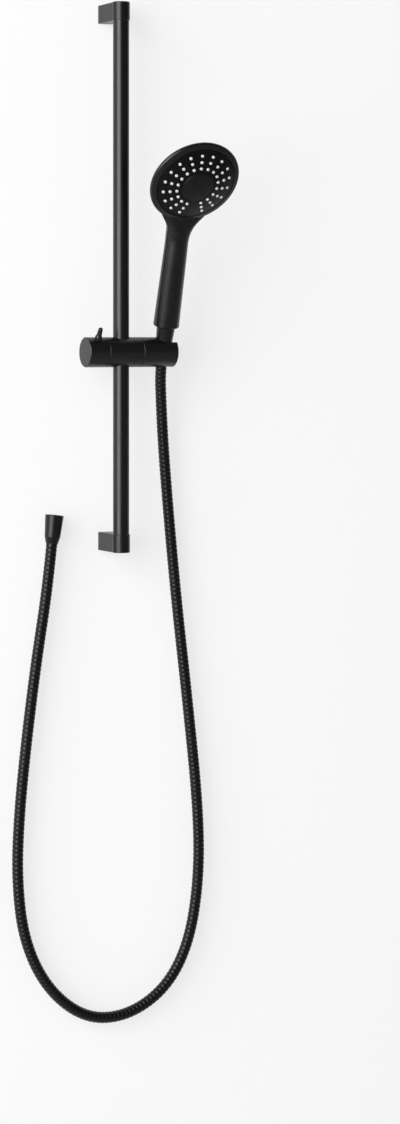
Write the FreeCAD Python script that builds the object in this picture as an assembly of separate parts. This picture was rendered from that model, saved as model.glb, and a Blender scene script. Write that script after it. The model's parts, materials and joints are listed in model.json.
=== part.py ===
"""Wall-mounted shower slide rail: rail, brackets, locking slider, tilting holder, handset and hose.

Millimetres, +Z up, +Y into the wall. The origin lies on the wall, midway between the two fixing screws.
"""
import FreeCAD, Part
import math
import os

# Clearances
SLIP = 0.15
RUNNING = 0.1
FREE = 0.3
FACE_GAP = 0.2

# Rail and wall brackets
FIXING_PITCH = 725.0
RAIL_D = 22.0
RAIL_WALL = 1.2
RAIL_STAND = 55.0
BRACKET_D = 24.0
BRACKET_H = 25.0
BRACKET_CHAMFER = 0.6
ARM_W = 20.0
SPIGOT_L = 15.0
BOSS_D = 15.0
BOSS_L = 12.0
FIXING_HOLE_D = 5.2
FIXING_HEAD_D = 10.0
FIXING_HEAD_L = 5.0
GRUB_D = 4.0
GRUB_Y = 6.0
GRUB_INSET = 0.6
GRUB_TIP_D = 2.4
GRUB_TIP_L = 0.8
GRUB_KEY = 2.0
GRUB_KEY_L = 1.8

# Slider body and rail bush
SLIDER_Z = -102.0
SLIDER_D = 41.0
END_CHAMFER = 0.8
SEAM_CHAMFER = 0.3
BODY_LEFT = 24.0
BODY_RIGHT = 26.4
BUSH_WALL = 1.9
BUSH_INSET = 0.2

# Lock: knob, pin lever, spindle and brake shoe
KNOB_L = 29.2
KNOB_WALL = 4.0
KNOB_END = 6.0
KNOB_HUB_D = 15.0
SPINDLE_D = 7.8
SPINDLE_GRIP = 21.0
LEVER_FROM_BODY = 14.6
LEVER_LEAN = 32.0
LEVER_STEM_D = 4.8
LEVER_COLLAR_D = 9.8
LEVER_COLLAR_L = 4.0
LEVER_CONE_L = 3.5
LEVER_PIN_D = 7.0
LEVER_TIP_D = 6.2
LEVER_REACH = 18.7
SHOE_D = 10.0
SHOE_L = 7.7
SHOE_BACK_GAP = 0.6

# Holder, its pivot screw and friction ring
HOLDER_L = 50.8
HOLDER_TILT = 16.7
SEAT_FROM_END = 15.0
SLOT_W = 16.4
SLOT_MOUTH_W = 22.0
SLOT_MOUTH_FOOT = 7.0
RING_IN_D = 18.0
RING_OUT_D = 30.0
RING_T = 0.95
RING_POCKET = 0.8
PIVOT_D = 5.0
PIVOT_HEAD_D = 9.2
PIVOT_HEAD_L = 3.0
PIVOT_KEY = 4.0
PIVOT_KEY_L = 1.8
PIVOT_GRIP = 17.0
PIVOT_SEAT_WALL = 8.6
SPRING_T = 1.0

# Conical hose nut, hose tail and washer
NUT_L = 39.0
NUT_TOP_D = 25.5
NUT_WAIST_D = 21.4
NUT_FOOT_D = 16.6
NUT_WAIST = 9.0
NUT_LIP = 0.7
NUT_THREAD_D = 19.9
NUT_THREAD_L = 10.2
NUT_RELIEF_D = 19.3
NUT_FOOT_DROP = 2.0
TAIL_FLANGE_D = 18.4
TAIL_FLANGE_T = 2.0
TAIL_STEM_D = 12.6
TAIL_BORE_D = 8.0
WASHER_D = 18.7
WASHER_BORE_D = 11.2
WASHER_T = 2.2

# Handset handle
HANDLE_FOOT_D = 35.6
HANDLE_NECK_D = 31.5
HANDLE_FOOT_BEVEL = 1.2
HANDLE_L = 131.8
HANDLE_SECTIONS = 12
SECTION_POINTS = 24
HANDLE_BORE_D = 22.0
HANDLE_BORE_L = 95.0
WATERWAY_D = 12.0
INLET_L = 22.0

# Handset head, with depths from the plane of the outermost nozzles
HEAD_TILT = 21.6
NECK_TO_HEAD = 85.4
RIM_D = 126.5
RIM_DEPTH = 7.8
RIM_ROUND = 3.0
RIM_LIP_W = 1.0
RIM_LIP_DEPTH = 3.4
HEAD_DEPTH = 27.0
HEAD_WALL = 3.0
CAVITY_D = 100.0
LEDGE_DEPTH = 6.7
SCREW_BOSS_D = 14.0
NECK_WATERWAY_D = 10.0
NECK_WATERWAY_BACK = 4.5
NECK_WATERWAY_L = 42.4

# Neck sections: distance past the bend in shares of the way to the rim, half width in shares of the
# neck's radius, height in front in shares of the way from the rim's lip up to the neck's radius, and
# depth behind in shares of the neck's radius
NECK_FLARE = (
    (0.0, 1.07, 1.06, 1.03),
    (0.5, 1.20, 0.70, 0.98),
    (1.0, 1.70, 0.19, 0.87),
    (1.5, 2.22, -0.13, 0.77),
    (2.0, 2.60, -0.17, 0.75),
    (2.5, 2.85, -0.20, 0.82),
)

# Face plate, nozzle mat, centre cap and face screw
FACE_SPHERE = 155.0
FACE_RISE = 6.6
PLATE_D = 111.0
PLATE_T = 2.5
PLATE_BEVEL = 0.8
PLATE_SKIRT = 2.4
PLATE_BOSS_D = 16.0
PLATE_BOSS_L = 2.2
CAP_D = 44.0
CAP_RECESS = 0.8
CAP_PROUD = 0.6
CAP_BEVEL = 0.4
FACE_SCREW_D = 3.8
FACE_SCREW_HEAD_D = 7.6
FACE_SCREW_HEAD_L = 2.0
FACE_SCREW_L = 24.0
MAT_T = 1.5
MAT_IN_D = 48.0
MAT_OUT_D = 103.0
NOZZLE_RINGS = (58.4, 76.2, 93.6)
NOZZLE_PLACES = 18
NOZZLE_TURN = 5.8
NOZZLE_D = 4.0
NOZZLE_TIP_D = 3.0
NOZZLE_TIP_L = 0.7
NOZZLE_BORE_D = 1.2
NOZZLE_PROUD = 1.5
NOZZLE_CLEAR = 0.25

# Hose: the nut at its free end, and the points that it hangs through
HOSE_D = 15.4
HOSE_LEAD = 26.0
OUTLET_LEAD = 60.0
OUTLET_X = -86.7
OUTLET_Y = -18.0
OUTLET_Z = -362.5
OUTLET_LEAN = 5.9
ARC_SHARE = 0.45
HOSE_ROUTE = (
    (68.8, -35.5, -166.0),
    (76.0, -27.0, -229.0),
    (86.8, -21.5, -326.0),
    (100.2, -19.0, -448.0),
    (116.5, -18.0, -578.0),
    (134.0, -18.0, -735.0),
    (135.5, -18.0, -835.0),
    (120.0, -18.0, -925.0),
    (84.0, -18.0, -985.0),
    (25.0, -18.0, -1017.0),
    (-37.0, -18.0, -1014.0),
    (-93.0, -18.0, -969.0),
    (-127.5, -18.0, -900.0),
    (-138.0, -18.0, -815.0),
    (-134.5, -18.0, -728.0),
    (-124.0, -18.0, -630.0),
    (-109.5, -18.0, -522.0),
)

# Worked out from the sizes above
X_AXIS = FreeCAD.Vector(1, 0, 0)
Y_AXIS = FreeCAD.Vector(0, 1, 0)
Z_AXIS = FreeCAD.Vector(0, 0, 1)
ORIGIN = FreeCAD.Vector(0, 0, 0)
RAIL_R = RAIL_D / 2
SLIDER_R = SLIDER_D / 2
SLIDER_AXIS = FreeCAD.Vector(0, -RAIL_STAND, SLIDER_Z)
BUSH_R = RAIL_R + RUNNING + BUSH_WALL
KNOB_X = -BODY_LEFT - FREE
SHOE_BACK = -RAIL_R - FREE - SHOE_L
PIVOT_SEAT = BODY_RIGHT - PIVOT_SEAT_WALL
HOLDER_X = BODY_RIGHT + FREE
SEAT_X = HOLDER_X + HOLDER_L - SEAT_FROM_END
TAIL_R = TAIL_STEM_D / 2
NUT_THREAD_FOOT = NUT_L - NUT_THREAD_L
WASHER_SEAT = NUT_THREAD_FOOT - FACE_GAP - WASHER_T
NUT_SHOULDER = WASHER_SEAT - TAIL_FLANGE_T - FACE_GAP
HANDLE_FOOT = NUT_L - NUT_FOOT_DROP + FREE
HANDLE_NECK = HANDLE_FOOT + HANDLE_L
FACE_CENTRE = FACE_RISE - FACE_SPHERE
PLATE_R = PLATE_D / 2
PLATE_BOSS_FOOT = FACE_RISE - PLATE_T - PLATE_BOSS_L
FACE_SCREW_TOP = FACE_RISE - CAP_RECESS - RUNNING


def vec(x, y, z):
    return FreeCAD.Vector(x, y, z)


def rod(diameter, start, end):
    """A round bar from one point to another."""
    way = end - start
    return Part.makeCylinder(diameter / 2, way.Length, start, way)


def turned(*steps):
    """A solid turned about Z. A step is a corner (radius, height), or (through, end) for an arc."""
    edges = []
    at = vec(steps[0][0], 0, steps[0][1])
    for step in steps[1:] + steps[:1]:
        is_arc = isinstance(step[0], tuple)
        radius, height = step[1] if is_arc else step
        end = vec(radius, 0, height)
        if is_arc:
            through = vec(step[0][0], 0, step[0][1])
            edges.append(Part.Arc(at, through, end).toShape())
        else:
            edges.append(Part.LineSegment(at, end).toShape())
        at = end
    return Part.Face(Part.Wire(edges)).revolve(ORIGIN, Z_AXIS, 360)


def arc_step(height, start, end):
    """The arc step of a profile that follows a height curve from one radius to another."""
    middle = (start + end) / 2
    return ((middle, height(middle)), (end, height(end)))


def hex_key(across, depth):
    """The form of a hexagon socket, from Z = 0 upwards."""
    corner = across / math.sqrt(3)
    turns = [math.radians(60 * step) for step in range(7)]
    outline = Part.makePolygon([vec(corner * math.cos(a), corner * math.sin(a), 0) for a in turns])
    return Part.Face(outline).extrude(Z_AXIS * depth)


def along_x(shape):
    """Lays a shape made about Z along X, on the slider's axis."""
    shape.rotate(ORIGIN, Y_AXIS, 90)
    shape.translate(SLIDER_AXIS)
    return shape


def slider_rod(diameter, left, right):
    """A round bar on the slider's axis."""
    return rod(diameter, SLIDER_AXIS + X_AXIS * left, SLIDER_AXIS + X_AXIS * right)


def slider_drum(left, right, left_chamfer, right_chamfer):
    """A length of the slider's round outline with chamfered ends."""
    r = SLIDER_R
    drum = turned(
        (0, left),
        (r - left_chamfer, left),
        (r, left + left_chamfer),
        (r, right - right_chamfer),
        (r - right_chamfer, right),
        (0, right),
    )
    return along_x(drum)


def on_holder(shape):
    """Moves a shape from an upright holder, with Z along the handset, to its tilted place on the slider."""
    shape.rotate(ORIGIN, X_AXIS, HOLDER_TILT)
    shape.translate(SLIDER_AXIS)
    return shape


def on_seat(shape):
    """Moves a shape made about Z to the axis of the holder's seat."""
    shape.translate(X_AXIS * SEAT_X)
    return on_holder(shape)


def neck_point(along, out):
    """A point of the neck: along the head's face from the bend, and out from the plane of the rim."""
    tilt = math.radians(HEAD_TILT)
    rise = along * math.cos(tilt) - out * math.sin(tilt)
    forward = along * math.sin(tilt) + out * math.cos(tilt)
    return vec(0, -forward, HANDLE_NECK + rise)


def on_head(shape):
    """Moves a shape from the head's own frame, with Z out of the face and Y up it, to its place."""
    shape.rotate(ORIGIN, X_AXIS, 90 + HEAD_TILT)
    shape.translate(neck_point(NECK_TO_HEAD, RIM_DEPTH))
    return on_seat(shape)


def in_seat(shape):
    """Stands a piece of the hose nut's set in the holder."""
    shape.translate(Z_AXIS * -NUT_FOOT_DROP)
    return on_seat(shape)


def at_outlet(shape):
    """Stands a piece of the hose nut's set at the hose's free end."""
    shape.rotate(ORIGIN, Y_AXIS, OUTLET_LEAN)
    shape.translate(vec(OUTLET_X, OUTLET_Y, OUTLET_Z))
    return shape


def rail_tube():
    half = FIXING_PITCH / 2 - BRACKET_H / 2
    low = vec(0, -RAIL_STAND, -half)
    high = vec(0, -RAIL_STAND, half)
    return rod(RAIL_D, low, high).cut(rod(RAIL_D - 2 * RAIL_WALL, low, high))


def bracket(side):
    """An L-shaped end bracket: a round post on the rail's end, and a flat-sided arm to the wall."""
    c = BRACKET_CHAMFER
    r = BRACKET_D / 2
    h = BRACKET_H / 2
    w = ARM_W / 2
    post = turned((0, -h), (r - c, -h), (r, c - h), (r, h - c), (r - c, h), (0, h))
    lower = [(-w, c - h), (c - w, -h), (w - c, -h), (w, c - h)]
    upper = [(w, h - c), (w - c, h), (c - w, h), (-w, h - c)]
    corners = [vec(x, 0, z) for x, z in lower + upper]
    arm = Part.Face(Part.makePolygon(corners + corners[:1])).extrude(Y_AXIS * RAIL_STAND)
    spigot = rod(RAIL_D - 2 * RAIL_WALL - 2 * SLIP, ORIGIN, vec(0, 0, -side * (h + SPIGOT_L)))
    solid = post.fuse([arm, spigot]).removeSplitter()
    wall = Y_AXIS * RAIL_STAND
    pocket = rod(BOSS_D + 2 * SLIP, wall - Y_AXIS * (BOSS_L + FACE_GAP), wall)
    grub_axis = wall - Y_AXIS * GRUB_Y
    grub_hole = rod(GRUB_D + 2 * SLIP, grub_axis - Z_AXIS * h, grub_axis)
    solid = solid.cut([pocket, grub_hole])
    solid.translate(vec(0, -RAIL_STAND, side * FIXING_PITCH / 2))
    return solid


def wall_boss(side):
    """The round boss that is screwed to the wall, and that the bracket slips over."""
    wall = vec(0, 0, side * FIXING_PITCH / 2)
    front = wall - Y_AXIS * BOSS_L
    hole = rod(FIXING_HOLE_D, front, wall)
    head = rod(FIXING_HEAD_D, front, front + Y_AXIS * FIXING_HEAD_L)
    return rod(BOSS_D, front, wall).cut([hole, head])


def grub_screw(side):
    """The set screw under the arm that holds the bracket on its boss."""
    length = BRACKET_H / 2 - GRUB_INSET - BOSS_D / 2
    r = GRUB_D / 2
    screw = turned((0, 0), (r, 0), (r, length - GRUB_TIP_L), (GRUB_TIP_D / 2, length), (0, length))
    screw = screw.cut(hex_key(GRUB_KEY, GRUB_KEY_L))
    screw.translate(vec(0, -GRUB_Y, side * FIXING_PITCH / 2 - BRACKET_H / 2 + GRUB_INSET))
    return screw


def slider_body():
    """The middle of the slider, bored for the rail's bush, the brake shoe and the holder's pivot."""
    reach = Z_AXIS * SLIDER_D
    pocket = BODY_RIGHT - RING_POCKET
    ring_core = slider_rod(RING_IN_D - 2 * SLIP, pocket, BODY_RIGHT)
    cuts = [
        rod(2 * BUSH_R, SLIDER_AXIS - reach, SLIDER_AXIS + reach),
        slider_rod(SPINDLE_D + 2 * FREE, -BODY_LEFT, 0),
        slider_rod(SHOE_D + 2 * FREE, SHOE_BACK - SHOE_BACK_GAP, 0),
        slider_rod(PIVOT_HEAD_D + 2 * FREE, 0, PIVOT_SEAT),
        slider_rod(PIVOT_D + 2 * FREE, 0, BODY_RIGHT),
        slider_rod(RING_OUT_D + 2 * SLIP, pocket, BODY_RIGHT).cut(ring_core),
    ]
    return slider_drum(-BODY_LEFT, BODY_RIGHT, SEAM_CHAMFER, SEAM_CHAMFER).cut(cuts)


def rail_bush():
    """The liner between rail and slider, with saddle-shaped ends and a window for the brake shoe."""
    low = SLIDER_AXIS - Z_AXIS * SLIDER_D
    high = SLIDER_AXIS + Z_AXIS * SLIDER_D
    envelope = slider_rod(SLIDER_D - 2 * BUSH_INSET, -BODY_LEFT, BODY_RIGHT)
    liner = rod(2 * (BUSH_R - RUNNING), low, high).common(envelope)
    bore = rod(RAIL_D + 2 * RUNNING, low, high)
    window = slider_rod(SHOE_D + 2 * FREE, -BODY_LEFT, 0)
    return liner.cut([bore, window])


def brake_shoe():
    """The shoe that the spindle presses on the rail, hollowed to the rail's curve."""
    reach = Z_AXIS * SHOE_D
    rail = rod(RAIL_D + 2 * FREE, SLIDER_AXIS - reach, SLIDER_AXIS + reach)
    return slider_rod(SHOE_D, SHOE_BACK, 0).cut(rail)


def clamp_spindle():
    return slider_rod(SPINDLE_D, KNOB_X - SPINDLE_GRIP, SHOE_BACK - SHOE_BACK_GAP)


def lock_knob():
    """The knob at the slider's end: a cup with a hub for the spindle and a hole for the lever."""
    end = KNOB_X - KNOB_L
    floor = end + KNOB_END
    hub = slider_rod(KNOB_HUB_D, floor, KNOB_X)
    hollow = slider_rod(SLIDER_D - 2 * KNOB_WALL, floor, KNOB_X).cut(hub)
    spindle = slider_rod(SPINDLE_D + 2 * RUNNING, KNOB_X - SPINDLE_GRIP, KNOB_X)
    stem = on_lever(rod(LEVER_STEM_D + 2 * RUNNING, Z_AXIS * KNOB_HUB_D, Z_AXIS * SLIDER_D))
    return slider_drum(end, KNOB_X, END_CHAMFER, SEAM_CHAMFER).cut([hollow, spindle, stem])


def on_lever(shape):
    """Moves a shape made about Z, with the slider's axis at its origin, to the lever's place."""
    shape.rotate(ORIGIN, X_AXIS, LEVER_LEAN)
    shape.translate(SLIDER_AXIS + X_AXIS * (KNOB_X - LEVER_FROM_BODY))
    return shape


def lock_lever():
    """The pin lever: a stem in the knob's wall, a collar on the knob, and a tapered pin with a domed tip."""
    inside = SLIDER_R - KNOB_WALL
    collar_top = SLIDER_R + LEVER_COLLAR_L
    pin_foot = collar_top + LEVER_CONE_L
    pin_r = LEVER_PIN_D / 2
    tip_r = LEVER_TIP_D / 2
    pin_top = SLIDER_R + LEVER_REACH
    shoulder = pin_top - tip_r
    collar_r = LEVER_COLLAR_D / 2
    diagonal = tip_r / math.sqrt(2)
    dome = ((diagonal, shoulder + diagonal), (0, pin_top))
    pin = turned(
        (0, inside),
        (collar_r, inside),
        (collar_r, collar_top),
        (pin_r, pin_foot),
        (tip_r, shoulder),
        dome,
    )
    knob = rod(SLIDER_D + 2 * RUNNING, X_AXIS * -SLIDER_D, X_AXIS * SLIDER_D)
    stem = rod(LEVER_STEM_D, Z_AXIS * (inside + FACE_GAP), Z_AXIS * collar_top)
    return on_lever(pin.cut(knob).fuse(stem).removeSplitter())


def nut_radius(height):
    """The conical nut's outer radius above its waist, and the same taper carried on below it."""
    share = (height - NUT_WAIST) / (NUT_L - NUT_WAIST)
    return (NUT_WAIST_D + share * (NUT_TOP_D - NUT_WAIST_D)) / 2


def hose_nut():
    """The conical nut, open upwards, with its shoulder round the hose tail."""
    lip = NUT_L - NUT_LIP
    return turned(
        (TAIL_R + FREE, 0),
        (NUT_FOOT_D / 2, 0),
        (NUT_WAIST_D / 2, NUT_WAIST),
        (nut_radius(lip), lip),
        (nut_radius(lip) - NUT_LIP, NUT_L),
        (NUT_THREAD_D / 2, NUT_L),
        (NUT_THREAD_D / 2, NUT_THREAD_FOOT),
        (NUT_RELIEF_D / 2, NUT_THREAD_FOOT),
        (NUT_RELIEF_D / 2, NUT_SHOULDER),
        (TAIL_R + FREE, NUT_SHOULDER),
    )


def hose_tail():
    """The flanged tail that the hose is crimped to, inside the nut."""
    bore = TAIL_BORE_D / 2
    flange = NUT_SHOULDER + FACE_GAP
    flange_r = TAIL_FLANGE_D / 2
    return turned(
        (bore, -FREE),
        (TAIL_R, -FREE),
        (TAIL_R, flange),
        (flange_r, flange),
        (flange_r, WASHER_SEAT),
        (bore, WASHER_SEAT),
    )


def hose_washer():
    """The rubber washer on the tail's flange."""
    inner = WASHER_BORE_D / 2
    outer = WASHER_D / 2
    top = WASHER_SEAT + WASHER_T
    return turned((inner, WASHER_SEAT), (outer, WASHER_SEAT), (outer, top), (inner, top))


def handset_holder():
    """The holder at the slider's other end: a conical seat for the nut, and a flared slot for the hose."""
    drum = slider_drum(HOLDER_X, HOLDER_X + HOLDER_L, SEAM_CHAMFER, END_CHAMFER)
    foot_r = nut_radius(0) + RUNNING
    top_r = nut_radius(SLIDER_D + NUT_FOOT_DROP) + RUNNING
    seat = turned(
        (0, -SLIDER_D),
        (foot_r, -SLIDER_D),
        (foot_r, -NUT_FOOT_DROP),
        (top_r, SLIDER_D),
        (0, SLIDER_D),
    )
    side = SLOT_W / 2
    mouth = SLOT_MOUTH_W / 2
    mouth_top = math.sqrt(SLIDER_R * SLIDER_R - mouth * mouth)
    left = [(-mouth, SLIDER_D), (-mouth, mouth_top), (-side, SLOT_MOUTH_FOOT), (-side, -SLIDER_D)]
    right = [(side, -SLIDER_D), (side, SLOT_MOUTH_FOOT), (mouth, mouth_top), (mouth, SLIDER_D)]
    corners = [vec(0, y, z) for y, z in left + right]
    slot = Part.Face(Part.makePolygon(corners + corners[:1])).extrude(X_AXIS * SLIDER_D)
    thread = slider_rod(PIVOT_D, 0, HOLDER_X + PIVOT_GRIP)
    return drum.cut([on_seat(seat), on_seat(slot), thread])


def holder_pivot_screw():
    """The screw from inside the slider that the holder turns with."""
    under_head = PIVOT_SEAT - SPRING_T - 2 * RUNNING
    top = under_head - PIVOT_HEAD_L
    head = slider_rod(PIVOT_HEAD_D, top, under_head)
    shank = slider_rod(PIVOT_D - 2 * RUNNING, under_head, HOLDER_X + PIVOT_GRIP - FREE)
    key = along_x(hex_key(PIVOT_KEY, PIVOT_KEY_L))
    key.translate(X_AXIS * top)
    return head.fuse(shank).cut(key)


def spring_washer():
    """The spring washer under the pivot screw's head."""
    top = PIVOT_SEAT - RUNNING
    low = top - SPRING_T
    return slider_rod(PIVOT_HEAD_D, low, top).cut(slider_rod(PIVOT_D + 2 * FREE, low, top))


def friction_ring():
    """The flat ring between slider and holder that holds the tilt."""
    seat = BODY_RIGHT - RING_POCKET
    top = seat + RING_T
    return slider_rod(RING_OUT_D, seat, top).cut(slider_rod(RING_IN_D, seat, top))


def section(centre, out, half_width, front, back):
    """Guide points round a section of the handset: half an ellipse to the front, another to the back."""
    step = 2 * math.pi / SECTION_POINTS
    swell = 3 / (2 + math.cos(step))
    points = []
    for place in range(SECTION_POINTS):
        across = swell * half_width * math.cos(step * place)
        depth = front if 2 * place < SECTION_POINTS else back
        deep = swell * depth * math.sin(step * place)
        points.append(centre + X_AXIS * across + out * deep)
    return points


def smooth_solid(sections):
    """A solid with flat ends and one smooth cubic side that is led by a row of sections."""
    degree = 3
    around = SECTION_POINTS
    spans = len(sections) - degree
    round_counts = [1] * (around + 1)
    end_count = degree + 1
    along_counts = [end_count] + [1] * (spans - 1) + [end_count]
    poles = [list(guide) for guide in zip(*sections)]
    surface = Part.BSplineSurface()
    surface.buildFromPolesMultsKnots(
        poles,
        round_counts,
        along_counts,
        list(range(around + 1)),
        list(range(spans + 1)),
        True,
        False,
        degree,
        degree,
    )
    side = surface.toShape()
    ends = [Part.Face(Part.Wire(edge)) for edge in side.Edges if edge.isClosed()]
    skin = Part.Compound([side] + ends)
    skin.sewShape()
    return Part.Solid(skin.Shells[0])


def handle_skin():
    """The outside of the handle, flared through the neck into the head as one smooth surface."""
    foot_r = HANDLE_FOOT_D / 2
    neck_r = HANDLE_NECK_D / 2
    sections = []
    for step in range(HANDLE_SECTIONS):
        share = step / HANDLE_SECTIONS
        r = foot_r + share * (neck_r - foot_r)
        sections.append(section(Z_AXIS * (HANDLE_FOOT + share * HANDLE_L), -Y_AXIS, r, r, r))
    out = neck_point(0, 1) - neck_point(0, 0)
    to_rim = NECK_TO_HEAD - RIM_D / 2
    lip = RIM_DEPTH - RIM_LIP_DEPTH
    for along, width, front, back in NECK_FLARE:
        centre = neck_point(along * to_rim, 0)
        height = lip + front * (neck_r - lip)
        sections.append(section(centre, out, width * neck_r, height, back * neck_r))
    return smooth_solid(sections)


def foot_bevel():
    """The ring that is taken off the edge of the handle's foot."""
    inner = HANDLE_FOOT_D / 2 - HANDLE_FOOT_BEVEL
    outer = inner + 2 * HANDLE_FOOT_BEVEL
    low = HANDLE_FOOT - FREE
    return turned((inner - FREE, low), (outer, low), (outer, HANDLE_FOOT + 2 * HANDLE_FOOT_BEVEL))


def back_dome(radius, inset):
    """Height of the head's domed back, or of its inside, at a radius."""
    rim_r = RIM_D / 2 - RIM_ROUND / 2
    depth = HEAD_DEPTH - RIM_DEPTH - RIM_ROUND
    sphere = (rim_r * rim_r + depth * depth) / (2 * depth)
    return sphere - HEAD_DEPTH - math.sqrt((sphere - inset) ** 2 - radius * radius)


def face_height(radius, offset):
    """Height of the domed face at a radius, or of a surface that runs beside it."""
    return FACE_CENTRE + math.sqrt((FACE_SPHERE + offset) ** 2 - radius * radius)


def head_skin():
    """The outside of the head: domed back, rounded rim and bevelled lip, with the face screw's boss."""
    rim_r = RIM_D / 2
    edge_r = rim_r - RIM_ROUND / 2
    lip_r = PLATE_R + SLIP + RIM_LIP_W
    boss_r = SCREW_BOSS_D / 2
    boss_top = PLATE_BOSS_FOOT - FACE_GAP
    return turned(
        (0, back_dome(0, 0)),
        arc_step(lambda r: back_dome(r, 0), 0, edge_r),
        ((rim_r, -RIM_DEPTH), (edge_r, RIM_ROUND - RIM_DEPTH)),
        (lip_r, -RIM_LIP_DEPTH),
        (boss_r, -RIM_LIP_DEPTH),
        (boss_r, boss_top),
        (0, boss_top),
    )


def head_cavity():
    """The head's inside: the water chamber round the boss, and the recess that takes the face plate."""
    boss_r = SCREW_BOSS_D / 2
    boss_top = PLATE_BOSS_FOOT - FACE_GAP
    recess_r = PLATE_R + SLIP
    wall_r = CAVITY_D / 2
    return turned(
        (boss_r, back_dome(boss_r, HEAD_WALL)),
        arc_step(lambda r: back_dome(r, HEAD_WALL), boss_r, wall_r),
        (wall_r, -LEDGE_DEPTH),
        (recess_r, -LEDGE_DEPTH),
        (recess_r, HEAD_DEPTH),
        (0, HEAD_DEPTH),
        (0, boss_top),
        (boss_r, boss_top),
    )


def handset_body():
    """The one-piece handset shell, hollow from the inlet through the neck to the spray chamber."""
    skin = on_seat(handle_skin()).fuse(on_head(head_skin()))
    bore_top = HANDLE_FOOT + HANDLE_BORE_L
    bore = rod(HANDLE_BORE_D, Z_AXIS * (HANDLE_FOOT - FREE), Z_AXIS * bore_top)
    waterway = rod(WATERWAY_D, Z_AXIS * bore_top, Z_AXIS * HANDLE_NECK)
    back = -NECK_WATERWAY_BACK
    neck = rod(NECK_WATERWAY_D, neck_point(back, back), neck_point(NECK_WATERWAY_L, back))
    screw_foot = FACE_SCREW_TOP - FACE_SCREW_L - FREE
    screw_hole = rod(FACE_SCREW_D + 2 * SLIP, Z_AXIS * screw_foot, Z_AXIS * FACE_SCREW_TOP)
    hollows = [on_head(head_cavity()), on_head(screw_hole), on_seat(bore), on_seat(waterway), on_seat(neck)]
    return skin.cut(hollows + [on_seat(foot_bevel())])


def inlet_spigot():
    """The threaded inlet that is fixed in the handle's foot and takes the hose nut."""
    inner = WATERWAY_D / 2
    thread_r = NUT_THREAD_D / 2 - SLIP
    body_r = HANDLE_BORE_D / 2 - SLIP
    foot = NUT_THREAD_FOOT - NUT_FOOT_DROP
    top = HANDLE_FOOT + INLET_L
    return turned(
        (inner, foot),
        (thread_r, foot),
        (thread_r, HANDLE_FOOT),
        (body_r, HANDLE_FOOT),
        (body_r, top),
        (inner, top),
    )


def nozzle_form(diameter, tip_diameter, low, high, place):
    """One nozzle or nozzle hole, square to the domed face, between two heights off it."""
    ring_d, turn = place
    foot = FACE_SPHERE + low
    top = FACE_SPHERE + high
    neck = top - NOZZLE_TIP_L
    r = diameter / 2
    form = turned((0, foot), (r, foot), (r, neck), (tip_diameter / 2, top), (0, top))
    form.rotate(ORIGIN, X_AXIS, math.degrees(math.asin(ring_d / 2 / FACE_SPHERE)))
    form.rotate(ORIGIN, Z_AXIS, turn)
    form.translate(Z_AXIS * FACE_CENTRE)
    return form


def nozzle_places():
    """Ring and turn of each nozzle: the rings line up, and the place next to the handle stays free."""
    step = 360 / NOZZLE_PLACES
    turns = [NOZZLE_TURN + step * place for place in range(1, NOZZLE_PLACES)]
    return [(ring, turn) for ring in NOZZLE_RINGS for turn in turns]


def face_plate():
    """The domed face plate: a skirt on the head's ledge, a recess for the cap, and the nozzle holes."""
    hole_r = FACE_SCREW_D / 2 + SLIP
    head_r = FACE_SCREW_HEAD_D / 2 + SLIP
    cap_r = CAP_D / 2 + SLIP
    bevel_r = PLATE_R - PLATE_BEVEL
    skirt_r = PLATE_R - PLATE_SKIRT
    skirt_foot = FACE_GAP - LEDGE_DEPTH
    boss_r = PLATE_BOSS_D / 2
    plate = turned(
        (hole_r, FACE_SCREW_TOP - FACE_SCREW_HEAD_L),
        (head_r, face_height(head_r, -CAP_RECESS)),
        arc_step(lambda r: face_height(r, -CAP_RECESS), head_r, cap_r),
        (cap_r, face_height(cap_r, 0)),
        arc_step(lambda r: face_height(r, 0), cap_r, bevel_r),
        (PLATE_R, face_height(PLATE_R, -PLATE_BEVEL)),
        (PLATE_R, skirt_foot),
        (skirt_r, skirt_foot),
        (skirt_r, face_height(skirt_r, -PLATE_T)),
        arc_step(lambda r: face_height(r, -PLATE_T), skirt_r, boss_r),
        (boss_r, PLATE_BOSS_FOOT),
        (hole_r, PLATE_BOSS_FOOT),
    )
    hole_d = NOZZLE_D + 2 * NOZZLE_CLEAR
    holes = [nozzle_form(hole_d, hole_d, -2 * PLATE_T, PLATE_T, place) for place in nozzle_places()]
    return on_head(plate.cut(holes))


def nozzle_mat():
    """The silicone mat behind the face plate, with its nozzles standing through the plate."""
    top = -PLATE_T - RUNNING
    low = top - MAT_T
    inner = MAT_IN_D / 2
    outer = MAT_OUT_D / 2
    sheet = turned(
        (inner, face_height(inner, top)),
        arc_step(lambda r: face_height(r, top), inner, outer),
        (outer, face_height(outer, low)),
        arc_step(lambda r: face_height(r, low), outer, inner),
    )
    root = (top + low) / 2
    bore = NOZZLE_BORE_D
    high = NOZZLE_PROUD
    places = nozzle_places()
    nozzles = [nozzle_form(NOZZLE_D, NOZZLE_TIP_D, root, high, place) for place in places]
    bores = [nozzle_form(bore, bore, low - MAT_T, high + MAT_T, place) for place in places]
    return on_head(sheet.fuse(nozzles).cut(bores))


def centre_cap():
    """The plain cap in the middle of the face, over the screw."""
    r = CAP_D / 2
    low = RUNNING - CAP_RECESS
    shoulder = r - CAP_BEVEL
    cap = turned(
        (0, face_height(0, low)),
        arc_step(lambda radius: face_height(radius, low), 0, r),
        (r, face_height(r, CAP_PROUD - CAP_BEVEL)),
        (shoulder, face_height(shoulder, CAP_PROUD)),
        arc_step(lambda radius: face_height(radius, CAP_PROUD), shoulder, 0),
    )
    return on_head(cap)


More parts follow.
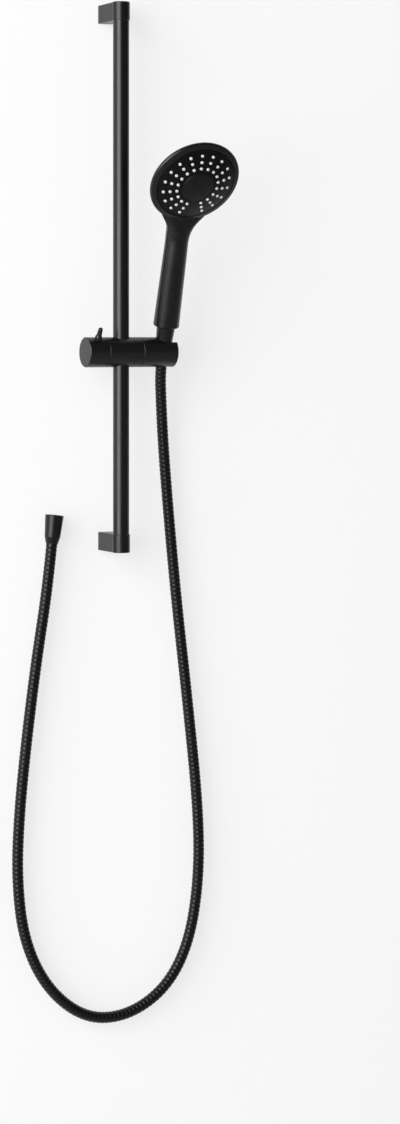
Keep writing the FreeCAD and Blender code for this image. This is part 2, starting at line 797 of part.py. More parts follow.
def face_screw():
    """The countersunk screw that holds the face plate to the head."""
    r = FACE_SCREW_D / 2
    top = FACE_SCREW_TOP
    foot = top - FACE_SCREW_L
    neck = top - FACE_SCREW_HEAD_L
    return on_head(turned((0, top), (0, foot), (r, foot), (r, neck), (FACE_SCREW_HEAD_D / 2, top)))


def moved_point(point, mover):
    """Where a mover carries a point."""
    return mover(Part.Vertex(point)).Point


def hose_points():
    """The hose's route, from the nut in the holder to the nut at its free end."""
    start = moved_point(Z_AXIS * -FREE, in_seat)
    lead = moved_point(Z_AXIS * (-FREE - HOSE_LEAD), in_seat)
    end_lead = moved_point(Z_AXIS * (-FREE - OUTLET_LEAD), at_outlet)
    end = moved_point(Z_AXIS * -FREE, at_outlet)
    return [start, lead] + [vec(*point) for point in HOSE_ROUTE] + [end_lead, end]


def hose_path():
    """Straight runs joined by arcs, each as large as the runs beside it allow."""
    points = hose_points()
    edges = []
    radii = []
    at = points[0]
    for before, corner, after in zip(points, points[1:], points[2:]):
        back = before - corner
        ahead = after - corner
        reach = ARC_SHARE * min(back.Length, ahead.Length)
        half_turn = (math.pi - back.getAngle(ahead)) / 2
        radius = reach / math.tan(half_turn)
        start = corner + back.normalize() * reach
        end = corner + ahead.normalize() * reach
        inward = (back + ahead).normalize()
        middle = corner + inward * (radius / math.cos(half_turn) - radius)
        edges.append(Part.LineSegment(at, start).toShape())
        edges.append(Part.Arc(start, middle, end).toShape())
        radii.append(round(radius, 1))
        at = end
    edges.append(Part.LineSegment(at, points[-1]).toShape())
    print("hose bend radii", radii)
    return Part.Wire(edges)


def hose():
    path = hose_path()
    points = hose_points()
    ring = Part.Wire(Part.makeCircle(HOSE_D / 2, points[0], points[1] - points[0]))
    tube = path.makePipe(Part.Face(ring))
    share = tube.Volume / (math.pi * HOSE_D * HOSE_D / 4 * path.Length)
    print("hose length %.1f, volume over section times length %.5f" % (path.Length, share))
    return tube


def pieces():
    """Every piece by name."""
    return {
        "rail_tube": rail_tube(),
        "upper_bracket": bracket(1),
        "lower_bracket": bracket(-1),
        "upper_wall_boss": wall_boss(1),
        "lower_wall_boss": wall_boss(-1),
        "upper_grub_screw": grub_screw(1),
        "lower_grub_screw": grub_screw(-1),
        "slider_body": slider_body(),
        "rail_bush": rail_bush(),
        "spring_washer": spring_washer(),
        "friction_ring": friction_ring(),
        "lock_knob": lock_knob(),
        "lock_lever": lock_lever(),
        "clamp_spindle": clamp_spindle(),
        "brake_shoe": brake_shoe(),
        "handset_holder": handset_holder(),
        "holder_pivot_screw": holder_pivot_screw(),
        "handset_body": handset_body(),
        "face_plate": face_plate(),
        "nozzle_mat": nozzle_mat(),
        "centre_cap": centre_cap(),
        "face_screw": face_screw(),
        "inlet_spigot": on_seat(inlet_spigot()),
        "handset_hose_nut": in_seat(hose_nut()),
        "handset_hose_tail": in_seat(hose_tail()),
        "handset_washer": in_seat(hose_washer()),
        "outlet_hose_nut": at_outlet(hose_nut()),
        "outlet_hose_tail": at_outlet(hose_tail()),
        "outlet_washer": at_outlet(hose_washer()),
        "hose": hose(),
    }


def main():
    os.makedirs("parts", exist_ok=True)
    for name, shape in pieces().items():
        facts = (name, len(shape.Solids), shape.isValid(), shape.Volume)
        print("%-20s solids %d valid %s volume %.1f" % facts)
        shape.exportStep("parts/%s.step" % name)


main()
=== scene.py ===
"""Dresses a shower slide rail: satin black finishes, ribbed hose, thread, stage and camera."""
import json
import math

import bmesh
import bpy
from bpy.props import FloatProperty, FloatVectorProperty, IntProperty, PointerProperty
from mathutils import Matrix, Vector


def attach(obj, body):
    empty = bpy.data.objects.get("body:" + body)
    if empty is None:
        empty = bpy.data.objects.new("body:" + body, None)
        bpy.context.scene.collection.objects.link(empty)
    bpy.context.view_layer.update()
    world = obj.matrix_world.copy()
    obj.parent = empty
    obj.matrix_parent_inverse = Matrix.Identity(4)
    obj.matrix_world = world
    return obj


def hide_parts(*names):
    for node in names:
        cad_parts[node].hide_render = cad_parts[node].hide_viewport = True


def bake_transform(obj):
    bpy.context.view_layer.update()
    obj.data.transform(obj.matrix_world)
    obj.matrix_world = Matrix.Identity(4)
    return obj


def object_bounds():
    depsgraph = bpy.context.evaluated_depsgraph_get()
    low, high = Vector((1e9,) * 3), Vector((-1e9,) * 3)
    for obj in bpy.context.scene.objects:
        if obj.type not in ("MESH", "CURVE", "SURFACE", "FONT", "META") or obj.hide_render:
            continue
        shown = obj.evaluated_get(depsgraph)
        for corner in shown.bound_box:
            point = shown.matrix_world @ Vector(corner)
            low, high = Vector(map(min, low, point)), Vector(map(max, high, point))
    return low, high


bl_info = {
    "name": "Shower Slide Rail",
    "version": (1, 0, 0),
    "blender": (4, 5, 0),
    "location": "View3D > Sidebar > Slide Rail",
    "description": "Finishes, hose and stage for a wall-mounted shower slide rail",
    "category": "Object",
}

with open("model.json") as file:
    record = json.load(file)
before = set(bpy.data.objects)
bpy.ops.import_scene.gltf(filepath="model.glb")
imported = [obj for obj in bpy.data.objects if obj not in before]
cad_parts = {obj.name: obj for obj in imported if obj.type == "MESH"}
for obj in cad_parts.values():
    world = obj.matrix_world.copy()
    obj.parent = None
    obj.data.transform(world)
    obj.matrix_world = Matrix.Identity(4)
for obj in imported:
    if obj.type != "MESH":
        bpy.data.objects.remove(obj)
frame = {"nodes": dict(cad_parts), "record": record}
CAD_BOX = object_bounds()

# The photograph's height and horizon in pixels, and its camera's lens, place and turn
IMAGE_H = 1124
HORIZON_PX = 331
FOCAL_PX = 2900
SENSOR_MM = 36.0
CAMERA_PLACE = (-1.610, -3.6641, -0.0732)
CAMERA_YAW = 25.6

# The window lamp's place, the point that it faces, and the wall's place behind the brackets
KEY_PLACE = (-3.4, -2.1, 0.6)
KEY_TARGET = (0.0, 0.0, -0.2)
WALL_PLACE = (0.0, 0.0005, 0.0)
WHITE = (1.0, 1.0, 1.0, 1.0)

# The background turns from pale to dim between these slopes below the horizon
SWEEP_FOOT = -0.16
SWEEP_TOP = -0.02

# The hose's route, from the nut in the holder to the nut at its free end
HOSE_ROUTE = (
    (0.0625, -0.054339, -0.104203),
    (0.0625, -0.046868, -0.129106),
    (0.0688, -0.0355, -0.166),
    (0.076, -0.027, -0.229),
    (0.0868, -0.0215, -0.326),
    (0.1002, -0.019, -0.448),
    (0.1165, -0.018, -0.578),
    (0.134, -0.018, -0.735),
    (0.1355, -0.018, -0.835),
    (0.120, -0.018, -0.925),
    (0.084, -0.018, -0.985),
    (0.025, -0.018, -1.017),
    (-0.037, -0.018, -1.014),
    (-0.093, -0.018, -0.969),
    (-0.1275, -0.018, -0.900),
    (-0.138, -0.018, -0.815),
    (-0.1345, -0.018, -0.728),
    (-0.124, -0.018, -0.630),
    (-0.1095, -0.018, -0.522),
    (-0.092898, -0.018, -0.422481),
    (-0.086731, -0.018, -0.362798),
)
SPLINE_STEPS = 48

# Where a rib's rings stand, in shares of the pitch, its crown's flatness, and a cuff in ribs
RIB_SHARES = (0.0, 0.03, 0.08, 0.16, 0.27, 0.42, 0.58, 0.73, 0.84, 0.92, 0.97)
RIB_POWER = 3.2
CUFF_RIBS = 0.5

# The mouth of the outlet nut's thread, steps in a turn, and half the ridge's foot in pitches
THREAD_MOUNT = next(
    mount for mount in frame["record"]["mounts"] if mount["name"] == "hose_inlet"
)
THREAD_STEPS = 40
THREAD_FOOT = 0.42

# Clouds and marks to a metre of a finish, the noise that makes a mark, and the grain's height
CLOUDS = 38.0
MARKS = 21.0
MARK_BEND = 0.7
MARK_STARTS = 0.54
MARK_FULL = 0.70
GRAIN_HEIGHT = 0.0002

# Lathe rings on turned brass, round the wall bosses above and below the rail's middle
BOSS_HEIGHT = 0.3625
RING_SPACING = 0.0005
RING_HEIGHT = 0.00004
RING_STRENGTH = 0.4


class FinishSettings(bpy.types.PropertyGroup):
    """Colours and gloss of the pieces."""

    coat_colour: FloatVectorProperty(
        name="Coat", description="Satin black of rail, brackets, lever, nuts and hose",
        subtype="COLOR", default=(0.003, 0.003, 0.0033),
    )
    coat_roughness: FloatProperty(
        name="Coat roughness", description="Gloss of the satin coat",
        subtype="FACTOR", default=0.30, min=0.0, max=1.0,
    )
    coat_grain: FloatProperty(
        name="Coat grain", description="Size of the coat's orange peel",
        subtype="DISTANCE", unit="LENGTH", default=0.0009,
    )
    casting_roughness: FloatProperty(
        name="Casting roughness", description="Gloss of the coat on the brackets",
        subtype="FACTOR", default=0.33, min=0.0, max=1.0,
    )
    casting_grain: FloatProperty(
        name="Casting grain", description="Size of the orange peel on the brackets",
        subtype="DISTANCE", unit="LENGTH", default=0.00126,
    )
    moulding_colour: FloatVectorProperty(
        name="Moulding", description="Satin black of slider, holder and handset",
        subtype="COLOR", default=(0.003, 0.003, 0.0033),
    )
    moulding_roughness: FloatProperty(
        name="Moulding roughness", description="Gloss of slider, holder and cap",
        subtype="FACTOR", default=0.34, min=0.0, max=1.0,
    )
    moulding_grain: FloatProperty(
        name="Moulding grain", description="Size of the mouldings' fine grain",
        subtype="DISTANCE", unit="LENGTH", default=0.0005,
    )
    handset_roughness: FloatProperty(
        name="Handset roughness", description="Gloss of the handset's handle and head",
        subtype="FACTOR", default=0.28, min=0.0, max=1.0,
    )
    face_colour: FloatVectorProperty(
        name="Face", description="Matt black of the spray face",
        subtype="COLOR", default=(0.002, 0.002, 0.0022),
    )
    face_roughness: FloatProperty(
        name="Face roughness", description="Gloss of the spray face",
        subtype="FACTOR", default=0.38, min=0.0, max=1.0,
    )
    nozzle_colour: FloatVectorProperty(
        name="Nozzles", description="White of the silicone nozzles",
        subtype="COLOR", default=(0.80, 0.80, 0.78),
    )
    brass_colour: FloatVectorProperty(
        name="Brass", description="Turned brass of bosses and hose tails",
        subtype="COLOR", default=(0.72, 0.56, 0.30),
    )
    steel_colour: FloatVectorProperty(
        name="Steel", description="Bright steel of screws",
        subtype="COLOR", default=(0.60, 0.60, 0.60),
    )
    acetal_colour: FloatVectorProperty(
        name="Acetal", description="Black plastic of bush, shoe and ring",
        subtype="COLOR", default=(0.020, 0.020, 0.021),
    )
    rubber_colour: FloatVectorProperty(
        name="Rubber", description="Dark rubber of the washers",
        subtype="COLOR", default=(0.05, 0.05, 0.05),
    )


class HoseSettings(bpy.types.PropertyGroup):
    """Sizes of the ribbed hose and of the thread in its outlet nut."""

    diameter: FloatProperty(
        name="Diameter", description="Outside of the ribs",
        subtype="DISTANCE", unit="LENGTH", default=0.0154,
    )
    rib_pitch: FloatProperty(
        name="Rib pitch", description="From one rib to the next",
        subtype="DISTANCE", unit="LENGTH", default=0.006,
    )
    groove_depth: FloatProperty(
        name="Groove depth", description="Depth of the groove between ribs",
        subtype="DISTANCE", unit="LENGTH", default=0.0006,
    )
    cuff_lip: FloatProperty(
        name="Cuff lip", description="Reach of the end cuff towards its nut",
        subtype="DISTANCE", unit="LENGTH", default=0.0002,
    )
    skin_grain: FloatProperty(
        name="Skin grain", description="Size of the grain on the hose",
        subtype="DISTANCE", unit="LENGTH", default=0.0011,
    )
    sides: IntProperty(
        name="Sides", description="Corners round the hose", default=28, min=8
    )
    neck_ribs: IntProperty(
        name="Neck ribs", description="Ribs that bend with the holder", default=17, min=15
    )
    thread_pitch: FloatProperty(
        name="Thread pitch", description="Pitch of the outlet nut's thread",
        subtype="DISTANCE", unit="LENGTH", default=0.001814,
    )
    thread_depth: FloatProperty(
        name="Thread depth", description="Height of the thread's ridge",
        subtype="DISTANCE", unit="LENGTH", default=0.0006,
    )


class StageSettings(bpy.types.PropertyGroup):
    """Wall, floor, background and lamp."""

    wall_colour: FloatVectorProperty(
        name="Wall", description="Paint of the wall behind the rail",
        subtype="COLOR", default=(0.31, 0.31, 0.31),
    )
    wall_glow: FloatProperty(
        name="Wall glow", description="Extra white that the camera, gloss and glass see",
        default=0.685, min=0.0,
    )
    floor_colour: FloatVectorProperty(
        name="Floor", description="Pale floor", subtype="COLOR", default=(0.74, 0.74, 0.74)
    )
    floor_drop: FloatProperty(
        name="Floor drop", description="Floor below the object",
        subtype="DISTANCE", unit="LENGTH", default=2.0,
    )
    stage_size: FloatProperty(
        name="Stage", description="Width of wall and floor",
        subtype="DISTANCE", unit="LENGTH", default=9.0,
    )
    world_strength: FloatProperty(
        name="World", description="Soft light from all round", default=0.30, min=0.0
    )
    world_background: FloatProperty(
        name="Background", description="Pale background below the horizon",
        default=0.38, min=0.0,
    )
    room_background: FloatProperty(
        name="Room", description="Dim background above the horizon", default=0.12, min=0.0
    )
    key_power: FloatProperty(
        name="Key lamp", description="Window light from the left", unit="POWER", default=230.0
    )
    key_size: FloatProperty(
        name="Key size", description="Width of the window",
        subtype="DISTANCE", unit="LENGTH", default=3.5,
    )


def settings():
    """The scene's own settings."""
    scene = bpy.context.scene
    return scene.slide_rail_finish, scene.slide_rail_hose, scene.slide_rail_stage


class Graph:
    """Adds nodes to a node tree and links them."""

    def __init__(self, tree):
        self.tree = tree

    def add(self, kind, inputs=None, **values):
        """A new node with its settings, and its inputs set or linked by name."""
        node = self.tree.nodes.new(kind)
        for name, value in values.items():
            setattr(node, name, value)
        self.feed(node, inputs or {})
        return node

    def feed(self, node, inputs):
        """Sets a node's inputs, or links them where a socket is given."""
        for name, value in inputs.items():
            if isinstance(value, bpy.types.NodeSocket):
                self.tree.links.new(value, node.inputs[name])
            else:
                node.inputs[name].default_value = value

    def math(self, operation, *values):
        """The result of an operation on numbers and sockets."""
        node = self.add("ShaderNodeMath", dict(enumerate(values)), operation=operation)
        return node.outputs["Value"]


def new_group(name, inputs, outputs):
    """The graph of an empty shader node group, its inputs' sockets and its output node."""
    tree = bpy.data.node_groups.new(name, "ShaderNodeTree")
    for socket, kind in inputs:
        tree.interface.new_socket(socket, in_out="INPUT", socket_type=kind)
    for socket, kind in outputs:
        tree.interface.new_socket(socket, in_out="OUTPUT", socket_type=kind)
    graph = Graph(tree)
    return graph, graph.add("NodeGroupInput").outputs, graph.add("NodeGroupOutput")


def satin_grain_group():
    """Grain, faint clouds and handling marks of a finish: a colour, a roughness and a height."""
    graph, given, result = new_group(
        "Satin Grain",
        [
            ("Colour", "NodeSocketColor"),
            ("Roughness", "NodeSocketFloat"),
            ("Grain Scale", "NodeSocketFloat"),
            ("Swing", "NodeSocketFloat"),
            ("Marks", "NodeSocketFloat"),
        ],
        [
            ("Colour", "NodeSocketColor"),
            ("Roughness", "NodeSocketFloat"),
            ("Height", "NodeSocketFloat"),
        ],
    )
    place = graph.add("ShaderNodeTexCoord").outputs["Object"]
    grain = graph.add(
        "ShaderNodeTexNoise", {"Vector": place, "Scale": given["Grain Scale"], "Detail": 2.0}
    )
    cloud = graph.add("ShaderNodeTexNoise", {"Vector": place, "Scale": CLOUDS, "Detail": 4.0})
    touch = graph.add(
        "ShaderNodeTexNoise",
        {"Vector": place, "Scale": MARKS, "Detail": 3.0, "Distortion": MARK_BEND},
    )
    smudge = graph.add(
        "ShaderNodeMapRange",
        {"Value": touch.outputs["Fac"], "From Min": MARK_STARTS, "From Max": MARK_FULL},
        clamp=True,
    )
    mark = graph.math("MULTIPLY", smudge.outputs["Result"], given["Marks"])
    centred = graph.math("SUBTRACT", cloud.outputs["Fac"], 0.5)
    swing = graph.math("MULTIPLY", centred, given["Swing"])
    clouded = graph.math("ADD", given["Roughness"], swing)
    roughness = graph.math("ADD", clouded, mark)
    lift = graph.math("ADD", swing, 1.0)
    tint = graph.add(
        "ShaderNodeVectorMath", {0: given["Colour"], "Scale": lift}, operation="SCALE"
    )
    graph.feed(
        result,
        {
            "Colour": tint.outputs["Vector"],
            "Roughness": roughness,
            "Height": grain.outputs["Fac"],
        },
    )
    return graph.tree


def group_named(name, make):
    """A node group, made the first time that it is asked for."""
    return bpy.data.node_groups.get(name) or make()


def satin_material(
    name, colour, roughness, grain,
    bump=0.12, swing=0.12, marks=0.04, metallic=0.0, specular=0.42,
):
    """A finish with faint clouds and marks in its gloss, over a fine grain."""
    material = bpy.data.materials.new(name)
    material.use_nodes = True
    graph = Graph(material.node_tree)
    surface = graph.add(
        "ShaderNodeGroup", node_tree=group_named("Satin Grain", satin_grain_group)
    )
    graph.feed(
        surface,
        {
            "Colour": (*colour, 1.0),
            "Roughness": roughness,
            "Grain Scale": 1.0 / grain,
            "Swing": swing,
            "Marks": marks,
        },
    )
    relief = graph.add(
        "ShaderNodeBump",
        {"Strength": bump, "Distance": GRAIN_HEIGHT, "Height": surface.outputs["Height"]},
    )
    graph.feed(
        material.node_tree.nodes["Principled BSDF"],
        {
            "Base Color": surface.outputs["Colour"],
            "Roughness": surface.outputs["Roughness"],
            "Metallic": metallic,
            "Specular IOR Level": specular,
            "Normal": relief.outputs["Normal"],
        },
    )
    return material


def add_turned_rings(material):
    """Lathe rings round the wall bosses' axes, over the finish's own grain."""
    graph = Graph(material.node_tree)
    shader = material.node_tree.nodes["Principled BSDF"]
    grain = shader.inputs["Normal"].links[0].from_socket
    place = graph.add("ShaderNodeTexCoord").outputs["Object"]
    parts = graph.add("ShaderNodeSeparateXYZ", {"Vector": place}).outputs
    level = graph.math("ABSOLUTE", parts["Z"])
    rise = graph.math("SUBTRACT", level, BOSS_HEIGHT)
    across = graph.add("ShaderNodeCombineXYZ", {"X": parts["X"], "Y": rise})
    radius = graph.add(
        "ShaderNodeVectorMath", {0: across.outputs["Vector"]}, operation="LENGTH"
    )
    turns = graph.math("MULTIPLY", radius.outputs["Value"], 2 * math.pi / RING_SPACING)
    relief = graph.add(
        "ShaderNodeBump",
        {
            "Strength": RING_STRENGTH,
            "Distance": RING_HEIGHT,
            "Height": graph.math("SINE", turns),
            "Normal": grain,
        },
    )
    graph.feed(shader, {"Normal": relief.outputs["Normal"]})


def finish_nodes(material, *names):
    """Gives CAD nodes their finish."""
    for name in names:
        node = frame["nodes"][name]
        node.data.materials.clear()
        node.data.materials.append(material)


def mesh_object(name, mesh, material):
    """A piece of the scene's own, with its finish."""
    piece = bpy.data.objects.new(name, mesh)
    bpy.context.scene.collection.objects.link(piece)
    mesh.materials.append(material)
    return piece


class SLIDERAIL_OT_rail(bpy.types.Operator):
    """Finish the rail and its brackets"""

    bl_idname = "slide_rail.rail"
    bl_label = "Rail and Brackets"

    def execute(self, context):
        finish, _, _ = settings()
        coat = satin_material(
            "rail_coat", finish.coat_colour, finish.coat_roughness, finish.coat_grain,
            bump=0.10, specular=0.46,
        )
        finish_nodes(coat, "rail_tube")
        casting = satin_material(
            "bracket_coat", finish.coat_colour, finish.casting_roughness, finish.casting_grain,
            bump=0.16, specular=0.40,
        )
        finish_nodes(casting, "upper_bracket", "lower_bracket")
        return {"FINISHED"}


class SLIDERAIL_OT_fixings(bpy.types.Operator):
    """Finish the bosses, screws, tails and washers inside"""

    bl_idname = "slide_rail.fixings"
    bl_label = "Fixings"

    def execute(self, context):
        finish, _, _ = settings()
        brass = satin_material(
            "brass_fitting", finish.brass_colour, roughness=0.28, grain=0.0004,
            bump=0.05, metallic=1.0,
        )
        add_turned_rings(brass)
        finish_nodes(brass, "upper_wall_boss", "lower_wall_boss", "inlet_spigot")
        finish_nodes(brass, "handset_hose_tail", "outlet_hose_tail")
        steel = satin_material(
            "steel_screw", finish.steel_colour, roughness=0.26, grain=0.0003,
            bump=0.06, metallic=1.0,
        )
        finish_nodes(steel, "upper_grub_screw", "lower_grub_screw", "spring_washer")
        finish_nodes(steel, "clamp_spindle", "holder_pivot_screw", "face_screw")
        rubber = satin_material(
            "washer_rubber", finish.rubber_colour, roughness=0.70, grain=0.0006,
            bump=0.20, marks=0.0,
        )
        finish_nodes(rubber, "handset_washer", "outlet_washer")
        return {"FINISHED"}


class SLIDERAIL_OT_slider(bpy.types.Operator):
    """Finish the slider, its lock and the handset's holder"""

    bl_idname = "slide_rail.slider"
    bl_label = "Slider"

    def execute(self, context):
        finish, _, _ = settings()
        moulding = satin_material(
            "slider_black", finish.moulding_colour,
            finish.moulding_roughness, finish.moulding_grain, specular=0.50,
        )
        finish_nodes(moulding, "slider_body", "lock_knob", "handset_holder")
        lever = satin_material(
            "lever_coat", finish.coat_colour, finish.coat_roughness, finish.coat_grain,
            bump=0.08,
        )
        finish_nodes(lever, "lock_lever")
        acetal = satin_material(
            "bush_plastic", finish.acetal_colour, roughness=0.48, grain=0.0007,
            bump=0.10, marks=0.02,
        )
        finish_nodes(acetal, "rail_bush", "friction_ring", "brake_shoe")
        return {"FINISHED"}


class SLIDERAIL_OT_handset(bpy.types.Operator):
    """Finish the handset, its face and its nozzles"""

    bl_idname = "slide_rail.handset"
    bl_label = "Handset"

    def execute(self, context):
        finish, _, _ = settings()
        moulding = satin_material(
            "handset_black", finish.moulding_colour,
            finish.handset_roughness, finish.moulding_grain, marks=0.05,
        )
        finish_nodes(moulding, "handset_body")
        face = satin_material(
            "face_black", finish.face_colour,
            finish.face_roughness, finish.moulding_grain, specular=0.16,
        )
        finish_nodes(face, "face_plate")
        cap = satin_material(
            "cap_black", finish.face_colour,
            finish.moulding_roughness, finish.moulding_grain, bump=0.06, specular=0.30,
        )
        finish_nodes(cap, "centre_cap")
        silicone = satin_material(
            "nozzle_white", finish.nozzle_colour, roughness=0.5, grain=0.0008,
            bump=0.10, swing=0.05,
        )
        finish_nodes(silicone, "nozzle_mat")
        return {"FINISHED"}


def spline_points():
    """Points along the hose's smooth line, read from a spline with the route as its controls."""
    curve = bpy.data.curves.new("hose_line", "CURVE")
    curve.dimensions = "3D"
    spline = curve.splines.new("NURBS")
    spline.points.add(len(HOSE_ROUTE) - 1)
    for point, place in zip(spline.points, HOSE_ROUTE):
        point.co = (*place, 1.0)
    spline.order_u = 3
    spline.use_endpoint_u = True
    spline.resolution_u = SPLINE_STEPS
    holder = bpy.data.objects.new("hose_line", curve)
    mesh = bpy.data.meshes.new_from_object(holder)
    points = [vertex.co.copy() for vertex in mesh.vertices]
    bpy.data.meshes.remove(mesh)
    bpy.data.objects.remove(holder)
    bpy.data.curves.remove(curve)
    return points


class HoseLine:
    """The hose's line by length, with a frame that turns with it and doesn't twist."""

    def __init__(self, points):
        self.points = points
        self.along = [0.0]
        for before, after in zip(points, points[1:]):
            self.along.append(self.along[-1] + (after - before).length)
        self.length = self.along[-1]
        self.index = 0
        self.side = Vector((1.0, 0.0, 0.0))

    def at(self, distance):
        """Place, side and other side of the line at a distance that grows from call to call."""
        distance = min(max(distance, 0.0), self.length)
        while self.index < len(self.points) - 2 and self.along[self.index + 1] < distance:
            self.index += 1
        start, end = self.points[self.index], self.points[self.index + 1]
        before, after = self.along[self.index], self.along[self.index + 1]
        share = (distance - before) / (after - before)
        way = (end - start).normalized()
        self.side = (self.side - way * self.side.dot(way)).normalized()
        return start.lerp(end, share), self.side.copy(), way.cross(self.side)


def rib_stations(ribs, first_cuff, last_cuff):
    """For each ring its place along the hose, in ribs, and its depth, in shares of the groove."""
    places = [rib + share for rib in range(ribs) for share in RIB_SHARES] + [ribs]
    stations = []
    for place in places:
        plain = (first_cuff and place < CUFF_RIBS) or (last_cuff and place > ribs - CUFF_RIBS)
        stations.append((place, 0.0 if plain else (2 * abs(place % 1 - 0.5)) ** RIB_POWER))
    return stations


def closed_mesh(name, form, rings):
    """A mesh with sides between a form's rings of corners, and an end face on the outer two."""
    for ring, following in zip(rings, rings[1:]):
        for step in range(len(ring)):
            back = step - 1
            form.faces.new((ring[back], ring[step], following[step], following[back]))
    form.faces.new(rings[0])
    form.faces.new(rings[-1])
    bmesh.ops.recalc_face_normals(form, faces=form.faces)
    mesh = bpy.data.meshes.new(name)
    form.to_mesh(mesh)
    form.free()
    return mesh


def ribbed_tube(line, start, ribs, pitch, hose, first_cuff=False, last_cuff=False):
    """A closed mesh of ribs along part of the hose's line, and the centres of its rings."""
    form = bmesh.new()
    turns = [2 * math.pi * step / hose.sides for step in range(hose.sides)]
    centres = []
    rings = []
    for place, depth in rib_stations(ribs, first_cuff, last_cuff):
        centre, side, other = line.at(start + place * pitch)
        radius = hose.diameter / 2 - depth * hose.groove_depth
        reach = hose.cuff_lip if last_cuff and place == ribs else 0.0
        middle = centre + side.cross(other) * reach
        rings.append([
            form.verts.new(middle + (side * math.cos(turn) + other * math.sin(turn)) * radius)
            for turn in turns
        ])
        centres.append(centre)
    mesh = closed_mesh("ribs", form, rings)
    mesh.shade_smooth()
    return mesh, centres


def thread_ridge(hose):
    """A closed mesh of the screw thread's ridge inside the outlet nut, thin at both ends."""
    mouth = Vector(THREAD_MOUNT["pos_m"])
    axis = Vector(THREAD_MOUNT["axis"]).normalized()
    side = axis.orthogonal().normalized()
    other = axis.cross(side)
    bore = THREAD_MOUNT["dims"]["r_mm"] / 1000
    length = THREAD_MOUNT["dims"]["length_mm"] / 1000 - hose.thread_pitch
    last = round(length / hose.thread_pitch * THREAD_STEPS)
    foot = axis * hose.thread_pitch * THREAD_FOOT
    form = bmesh.new()
    rings = []
    for step in range(last + 1):
        turn = 2 * math.pi * step / THREAD_STEPS
        out = side * math.cos(turn) + other * math.sin(turn)
        centre = mouth - axis * (hose.thread_pitch / 2 + length * step / last)
        share = min(1.0, 2 * step / THREAD_STEPS, 2 * (last - step) / THREAD_STEPS)
        crest = centre + out * (bore - hose.thread_depth * share)
        root = centre + out * bore
        rings.append([form.verts.new(place) for place in (root - foot, crest, root + foot)])
    return closed_mesh("thread", form, rings)


class SLIDERAIL_OT_hose(bpy.types.Operator):
    """Build the ribbed hose, and finish its nuts"""

    bl_idname = "slide_rail.hose"
    bl_label = "Hose"

    def execute(self, context):
        finish, hose, _ = settings()
        coat = satin_material(
            "nut_coat", finish.coat_colour, finish.coat_roughness, finish.coat_grain,
            specular=0.36,
        )
        finish_nodes(coat, "handset_hose_nut", "outlet_hose_nut")
        thread = mesh_object("outlet_thread", thread_ridge(hose), coat)
        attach(thread, "outlet_nut")
        skin = satin_material(
            "hose_black", finish.coat_colour, finish.coat_roughness, hose.skin_grain,
            bump=0.08, specular=0.30,
        )
        line = HoseLine(spline_points())
        ribs = round(line.length / hose.rib_pitch)
        pitch = line.length / ribs
        neck_length = hose.neck_ribs * pitch
        neck_mesh, neck_path = ribbed_tube(
            line, 0.0, hose.neck_ribs, pitch, hose, first_cuff=True
        )
        neck = mesh_object("hose_neck", neck_mesh, skin)
        run_mesh, run_path = ribbed_tube(
            line, neck_length, ribs - hose.neck_ribs, pitch, hose, last_cuff=True
        )
        run = mesh_object("hose_run", run_mesh, skin)
        for piece in (neck, run):
            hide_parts("hose")
        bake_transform(neck)
        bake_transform(run)
        return {"FINISHED"}


def stage_sheet(name, size, place, turn, material):
    """A square sheet of the stage."""
    bpy.ops.mesh.primitive_plane_add(size=size, location=place, rotation=turn)
    sheet = bpy.context.object
    sheet.name = name
    sheet.data.materials.append(material)
    return sheet


def shown_rays(graph):
    """One for rays that show the background: the camera's own, and those in gloss or glass."""
    seen = graph.add("ShaderNodeLightPath").outputs
    mirrored = graph.math("MAXIMUM", seen["Is Camera Ray"], seen["Is Glossy Ray"])
    return graph.math("MAXIMUM", mirrored, seen["Is Transmission Ray"])


def wall_material(stage):
    """White paint that keeps soft shadows, seen from its front only."""
    material = bpy.data.materials.new("wall_paint")
    material.use_nodes = True
    material.node_tree.nodes.clear()
    graph = Graph(material.node_tree)
    paint = graph.add("ShaderNodeBsdfDiffuse", {"Color": (*stage.wall_colour, 1.0)})
    strength = graph.math("MULTIPLY", shown_rays(graph), stage.wall_glow)
    glow = graph.add("ShaderNodeEmission", {"Color": WHITE, "Strength": strength})
    front = graph.add(
        "ShaderNodeAddShader", {0: paint.outputs["BSDF"], 1: glow.outputs["Emission"]}
    )
    clear = graph.add("ShaderNodeBsdfTransparent")
    back = graph.add("ShaderNodeNewGeometry").outputs["Backfacing"]
    both = graph.add(
        "ShaderNodeMixShader", {0: back, 1: front.outputs["Shader"], 2: clear.outputs["BSDF"]}
    )
    graph.add("ShaderNodeOutputMaterial", {"Surface": both.outputs["Shader"]})
    return material


def light_world(scene, stage):
    """Soft even light, with a background that goes from pale below to a dim room above."""
    world = bpy.data.worlds.new("studio")
    scene.world = world
    world.use_nodes = True
    world.node_tree.nodes.clear()
    graph = Graph(world.node_tree)
    way = graph.add("ShaderNodeTexCoord").outputs["Generated"]
    slope = graph.add("ShaderNodeSeparateXYZ", {"Vector": way}).outputs["Z"]
    sweep = graph.add(
        "ShaderNodeMapRange",
        {
            "Value": slope,
            "From Min": SWEEP_FOOT,
            "From Max": SWEEP_TOP,
            "To Min": stage.world_background,
            "To Max": stage.room_background,
        },
        interpolation_type="SMOOTHSTEP",
    )
    strength = graph.add(
        "ShaderNodeMix",
        {0: shown_rays(graph), 2: stage.world_strength, 3: sweep.outputs["Result"]},
        data_type="FLOAT",
    )
    light = graph.add(
        "ShaderNodeBackground", {"Color": WHITE, "Strength": strength.outputs[0]}
    )
    graph.add("ShaderNodeOutputWorld", {"Surface": light.outputs["Background"]})


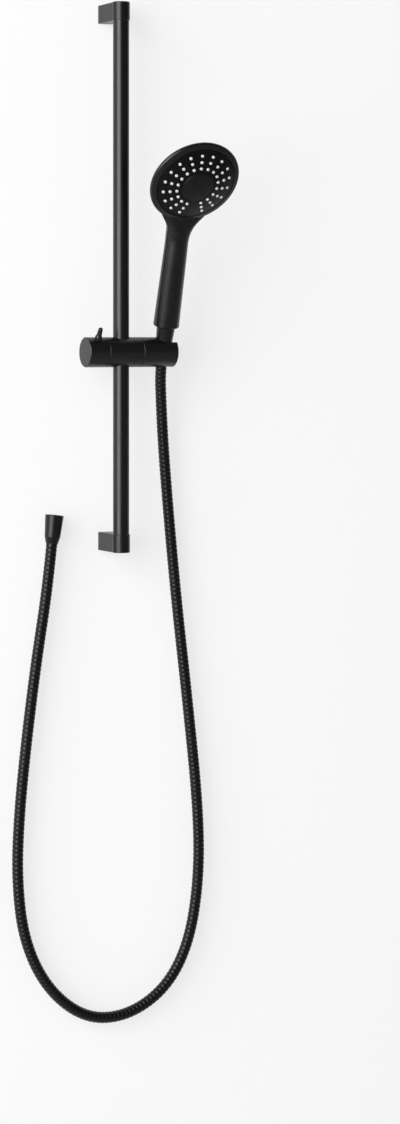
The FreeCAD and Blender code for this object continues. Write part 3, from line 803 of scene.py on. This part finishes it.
def add_lamp(name, power, size, place, target):
    """A square soft lamp that faces a point."""
    data = bpy.data.lights.new(name, "AREA")
    data.energy = power
    data.size = size
    lamp = bpy.data.objects.new(name, data)
    lamp.location = place
    way = Vector(target) - Vector(place)
    lamp.rotation_euler = way.to_track_quat("-Z", "Y").to_euler()
    bpy.context.scene.collection.objects.link(lamp)


def place_camera(scene):
    """A level camera with the photograph's place, angle and framing."""
    data = bpy.data.cameras.new("camera")
    data.sensor_width = SENSOR_MM
    data.lens = SENSOR_MM * FOCAL_PX / IMAGE_H
    data.shift_y = (HORIZON_PX - IMAGE_H / 2) / IMAGE_H
    camera = bpy.data.objects.new("camera", data)
    camera.location = CAMERA_PLACE
    camera.rotation_euler = (math.pi / 2, 0.0, -math.radians(CAMERA_YAW))
    scene.collection.objects.link(camera)
    scene.camera = camera


class SLIDERAIL_OT_stage(bpy.types.Operator):
    """Set up wall, floor, lamp and camera"""

    bl_idname = "slide_rail.stage"
    bl_label = "Stage"

    def execute(self, context):
        _, _, stage = settings()
        scene = context.scene
        scene.view_settings.view_transform = "Standard"
        size = stage.stage_size
        upright = (math.pi / 2, 0.0, 0.0)
        wall = stage_sheet("wall", size, WALL_PLACE, upright, wall_material(stage))
        floor_paint = satin_material(
            "floor_paint", stage.floor_colour, roughness=0.7, grain=0.004,
            bump=0.02, swing=0.04, marks=0.0,
        )
        floor_place = (0.0, -size / 2, CAD_BOX[0].z - stage.floor_drop)
        floor = stage_sheet("floor", size, floor_place, (0.0, 0.0, 0.0), floor_paint)
        light_world(scene, stage)
        add_lamp("key", stage.key_power, stage.key_size, KEY_PLACE, KEY_TARGET)
        place_camera(scene)
        return {"FINISHED"}


class SLIDERAIL_PT_panel(bpy.types.Panel):
    """Lists the steps that dress the slide rail"""

    bl_label = "Slide Rail"
    bl_idname = "SLIDERAIL_PT_panel"
    bl_space_type = "VIEW_3D"
    bl_region_type = "UI"
    bl_category = "Slide Rail"

    def draw(self, context):
        for step in STEPS:
            self.layout.operator(step.bl_idname)


STEPS = (
    SLIDERAIL_OT_rail,
    SLIDERAIL_OT_fixings,
    SLIDERAIL_OT_slider,
    SLIDERAIL_OT_handset,
    SLIDERAIL_OT_hose,
    SLIDERAIL_OT_stage,
)
GROUPS = {
    "slide_rail_finish": FinishSettings,
    "slide_rail_hose": HoseSettings,
    "slide_rail_stage": StageSettings,
}


def register():
    """Adds the settings, the steps and the panel to Blender."""
    for name, group in GROUPS.items():
        bpy.utils.register_class(group)
        setattr(bpy.types.Scene, name, PointerProperty(type=group))
    for step in STEPS:
        bpy.utils.register_class(step)
    bpy.utils.register_class(SLIDERAIL_PT_panel)


def unregister():
    """Takes the panel, the steps and the settings out again."""
    bpy.utils.unregister_class(SLIDERAIL_PT_panel)
    for step in reversed(STEPS):
        bpy.utils.unregister_class(step)
    for name, group in GROUPS.items():
        delattr(bpy.types.Scene, name)
        bpy.utils.unregister_class(group)


def main():
    """Registers the add-on and runs its steps in order."""
    register()
    bpy.ops.slide_rail.rail()
    bpy.ops.slide_rail.fixings()
    bpy.ops.slide_rail.slider()
    bpy.ops.slide_rail.handset()
    bpy.ops.slide_rail.hose()
    bpy.ops.slide_rail.stage()


if __name__ == "__main__":
    main()
